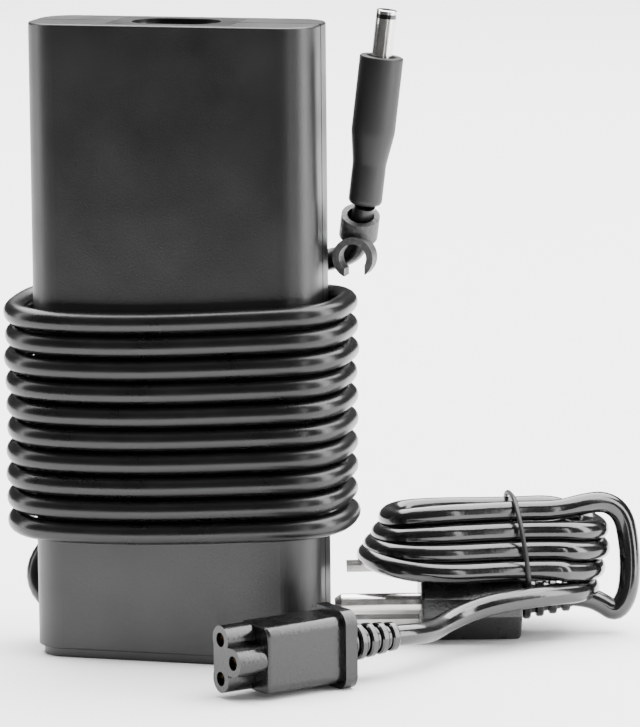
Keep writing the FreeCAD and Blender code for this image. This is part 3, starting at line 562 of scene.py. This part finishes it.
def rounded(corners, steps=6):
    """A profile whose corners (x, y, radius) are rounded with an arc where the radius isn't 0."""
    points = []
    for index, (x, y, radius) in enumerate(corners):
        here = Vector((x, y))
        if radius == 0 or index in (0, len(corners) - 1):
            points.append(here)
            continue
        before = (Vector(corners[index - 1][:2]) - here).normalized()
        after = (Vector(corners[index + 1][:2]) - here).normalized()
        half = before.angle(after) / 2
        middle = (before + after).normalized()
        centre = here + middle * (radius / math.sin(half))
        start = here + before * (radius / math.tan(half)) - centre
        end = here + after * (radius / math.tan(half)) - centre
        start.normalize()
        end.normalize()
        for step in range(steps + 1):
            points.append(centre + start.slerp(end, step / steps) * radius)
    return points


# %% [markdown]
# ## Ribbed strain reliefs
# Where a cord enters a moulding, a tapering sleeve with ribs spreads the bend. The ribs are one
# rib repeated, so Geometry Nodes lays them: a line of points along the sleeve, a rounded ring on
# each, shrinking with the taper. The sleeve's plain core passes through the same tree. All is
# realized into one mesh, which is then taken off its modifier and kept as an ordinary mesh.

# %% A node tree for ribs
RIB_INPUTS = {"Count": "NodeSocketInt", "Pitch": "NodeSocketFloat",
              "Root Radius": "NodeSocketFloat", "Tip Scale": "NodeSocketFloat",
              "Rib Width": "NodeSocketFloat", "Rib Depth": "NodeSocketFloat",
              "Material": "NodeSocketMaterial"}


def rib_tree():
    """The tree that sets ribs on a core; its inputs are in metres."""
    tree = bpy.data.node_groups.new("ribs_on_a_core", "GeometryNodeTree")
    tree.interface.new_socket("Geometry", in_out="INPUT", socket_type="NodeSocketGeometry")
    for name, kind in RIB_INPUTS.items():
        tree.interface.new_socket(name, in_out="INPUT", socket_type=kind)
    tree.interface.new_socket("Geometry", in_out="OUTPUT", socket_type="NodeSocketGeometry")
    given = tree.nodes.new("NodeGroupInput").outputs
    offset = add_node(tree, "ShaderNodeCombineXYZ", {"Z": given["Pitch"]})
    half = add_node(tree, "ShaderNodeMath", {0: given["Pitch"], 1: 0.5}, operation="MULTIPLY")
    start = add_node(tree, "ShaderNodeCombineXYZ", {"Z": half.outputs[0]})
    line = add_node(tree, "GeometryNodeMeshLine", {
        "Count": given["Count"], "Start Location": start.outputs[0], "Offset": offset.outputs[0]})
    circle = add_node(tree, "GeometryNodeCurvePrimitiveCircle",
                      {"Resolution": 48, "Radius": given["Root Radius"]})
    section = add_node(tree, "GeometryNodeCurvePrimitiveQuadrilateral",
                       {"Width": given["Rib Depth"], "Height": given["Rib Width"]})
    corner = add_node(tree, "ShaderNodeMath", {0: given["Rib Width"], 1: 0.2}, operation="MULTIPLY")
    soft = add_node(tree, "GeometryNodeFilletCurve",
                    {"Curve": section.outputs[0], "Radius": corner.outputs[0]})
    rib = add_node(tree, "GeometryNodeCurveToMesh",
                   {"Curve": circle.outputs[0], "Profile Curve": soft.outputs[0]})
    index = add_node(tree, "GeometryNodeInputIndex")
    taper = add_node(tree, "ShaderNodeMapRange", {
        "Value": index.outputs[0], "From Min": 0.0, "From Max": given["Count"],
        "To Min": 1.0, "To Max": given["Tip Scale"]})
    shrink = add_node(tree, "ShaderNodeCombineXYZ",
                      {"X": taper.outputs[0], "Y": taper.outputs[0], "Z": 1.0})
    placed = add_node(tree, "GeometryNodeInstanceOnPoints", {
        "Points": line.outputs[0], "Instance": rib.outputs[0], "Scale": shrink.outputs[0]})
    joined = add_node(tree, "GeometryNodeJoinGeometry")
    tree.links.new(given["Geometry"], joined.inputs[0])
    tree.links.new(placed.outputs[0], joined.inputs[0])
    real = add_node(tree, "GeometryNodeRealizeInstances", {"Geometry": joined.outputs[0]})
    painted = add_node(tree, "GeometryNodeSetMaterial",
                       {"Geometry": real.outputs[0], "Material": given["Material"]})
    tree.links.new(painted.outputs[0], tree.nodes.new("NodeGroupOutput").inputs[0])
    return tree


RIBS = rib_tree()


RIB_DEPTH = 0.9
RIB_SHARE = 0.62           # how much of the pitch a rib fills


def ribbed_sleeve(name, place, body, slot_name, root, tip, length, count, replaced):
    """A tapering sleeve with ribs along its own +Z, set in place; sizes in millimetres."""
    core = turned([(0, 0), (root - RIB_DEPTH, 0), (tip - RIB_DEPTH * 0.5, length), (0, length)],
                  sides=48)
    blank = bpy.data.meshes.new(name + "_core")
    bmesh.ops.scale(core, vec=(MM, MM, MM), verts=core.verts)
    core.to_mesh(blank)
    core.free()
    maker = bpy.data.objects.new(name + "_maker", blank)
    scene.collection.objects.link(maker)
    pitch = length / count
    wanted = {"Count": count, "Pitch": pitch * MM, "Root Radius": (root - RIB_DEPTH / 2) * MM,
              "Tip Scale": tip / root, "Rib Width": pitch * RIB_SHARE * MM,
              "Rib Depth": RIB_DEPTH * MM,
              "Material": finishes[slot_name]}
    modifier = maker.modifiers.new("ribs", "NODES")
    modifier.node_group = RIBS
    for item in RIBS.interface.items_tree:
        if item.in_out == "INPUT" and item.name in wanted:
            modifier[item.identifier] = wanted[item.name]
    view = bpy.context.evaluated_depsgraph_get()
    plain = bpy.data.meshes.new_from_object(maker.evaluated_get(view))
    form = bmesh.new()
    form.from_mesh(plain)
    bmesh.ops.scale(form, vec=(1 / MM, 1 / MM, 1 / MM), verts=form.verts)
    bpy.data.objects.remove(maker)
    bpy.data.meshes.remove(plain)
    piece = piece_from(name, form, slot_name, body, place)
    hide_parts(replaced)
    print(name, len(piece.data.polygons), "faces")
    return piece


# %% [markdown]
# ## Where the sleeves stand
# One sleeve leaves the back of the lead's connector, one the back of the wall plug, and one the
# notch at the brick's lower end. Each stands with its root on the moulding and its tip on the cord.

# %% Three ribbed sleeves


def facing(foot, direction):
    """The place of a piece that stands at foot with its own +Z along direction."""
    turn = Vector(direction).to_track_quat("Z", "Y").to_matrix().to_4x4()
    return Matrix.Translation(Vector(foot)) @ turn


CONNECTOR_BACK = (41.6, -21.6, 8.8)
CONNECTOR_WAY = (0.66913, 0.74314, 0.0)
NECK_FOOT = (69.40, 35.67, 8.75)
NECK_WAY = (0.96126, 0.27564, 0.0)
EXIT_FOOT = (-15.0, 7.4, 7.6)
connector_sleeve = ribbed_sleeve(
    "connector_sleeve", facing(CONNECTOR_BACK, CONNECTOR_WAY), "lead", "mains_cord",
    root=4.4, tip=3.0, length=15.0, count=5, replaced="connector_relief")
neck_sleeve = ribbed_sleeve(
    "neck_sleeve", facing(NECK_FOOT, NECK_WAY), "lead", "mains_cord",
    root=5.2, tip=3.0, length=12.0, count=4, replaced="mains_plug_neck")
ribbed_sleeve(
    "exit_sleeve", facing(EXIT_FOOT, (-1, 0, 0)), "adapter", "soft_black",
    root=3.5, tip=2.9, length=12.0, count=5, replaced="output_strain_relief")

# %% [markdown]
# ## The barrel plug's handle
# The handle is one soft moulding over the plug and the cord: a straight collar to grip, a long
# shoulder, and a narrower boot with a rounded end. It is turned from a profile with generous
# rounds. The barrel standing in it is the frame's own, because its sizes are standard.

# %% Barrel plug
PLUG_FOOT = Vector((41.4, 5.0, 102.5))
PLUG_AXIS = Vector((0.1235, 0.0, 0.9923))
BOOT_RADIUS = 3.75
COLLAR_RADIUS = 4.85
BOOT_END = 9.3
TAPER_END = 16.4
COLLAR_END = 33.4
BOOT_ROUND = 1.3
SHOULDER_ROUND = 9
COLLAR_ROUND = 0.45
GROOVE_RIM = 3.3
GROOVE_FLOOR = 3.1
GROOVE_DEPTH = 0.5
GROOVE_ROUND = 0.2

plug_place = facing(PLUG_FOOT, PLUG_AXIS)
handle_profile = rounded([
    (0, 0, 0), (BOOT_RADIUS, 0, BOOT_ROUND), (BOOT_RADIUS, BOOT_END, SHOULDER_ROUND),
    (COLLAR_RADIUS, TAPER_END, SHOULDER_ROUND), (COLLAR_RADIUS, COLLAR_END, COLLAR_ROUND),
    (GROOVE_RIM, COLLAR_END, GROOVE_ROUND), (GROOVE_FLOOR, COLLAR_END - GROOVE_DEPTH, GROOVE_ROUND),
    (0, COLLAR_END - GROOVE_DEPTH, 0)], steps=8)
handle = piece_from("plug_handle", turned(handle_profile), "soft_black", "adapter", plug_place)
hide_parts("plug_overmould")

print("plug profile points:", len(handle_profile))

# %% [markdown]
# ## The tie round the hank
# A thin coated wire goes once round the whole bundle and is pulled in until the turns touch. Its
# centre line passes just outside the outermost runs and closes on itself.

# %% Tie
TIE_RADIUS = 0.00055
TIE_ALONG = 3.4
TIE_LEAN = -0.12           # how far the loop leans along the hank for each millimetre of height
TIE_MIDDLE = 20.0
tie_loop = [(-18.0, 15.4), (-17.6, 20.6), (-14.4, 27.6), (-8.6, 32.0), (-1.0, 31.9), (7.0, 31.0),
            (12.6, 28.4), (16.2, 22.0), (17.8, 15.6), (16.6, 11.4), (11.6, 12.2), (3.0, 14.7),
            (-6.0, 15.6), (-13.0, 14.0), (-16.4, 13.4)]
tie_points = [hank_point(TIE_ALONG + (z - TIE_MIDDLE) * TIE_LEAN, y, z) for y, z in tie_loop]
tie_curve = cable("tie_curve", metres(tie_points), TIE_RADIUS, "soft_black", closed=True)
view = bpy.context.evaluated_depsgraph_get()
tie_mesh = bpy.data.meshes.new_from_object(tie_curve.evaluated_get(view))
bpy.data.objects.remove(tie_curve)
tie = bpy.data.objects.new("lead_tie", tie_mesh)
scene.collection.objects.link(tie)
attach(tie, "lead")
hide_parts("mains_lead_tie")
print("tie:", len(tie_mesh.polygons), "faces")
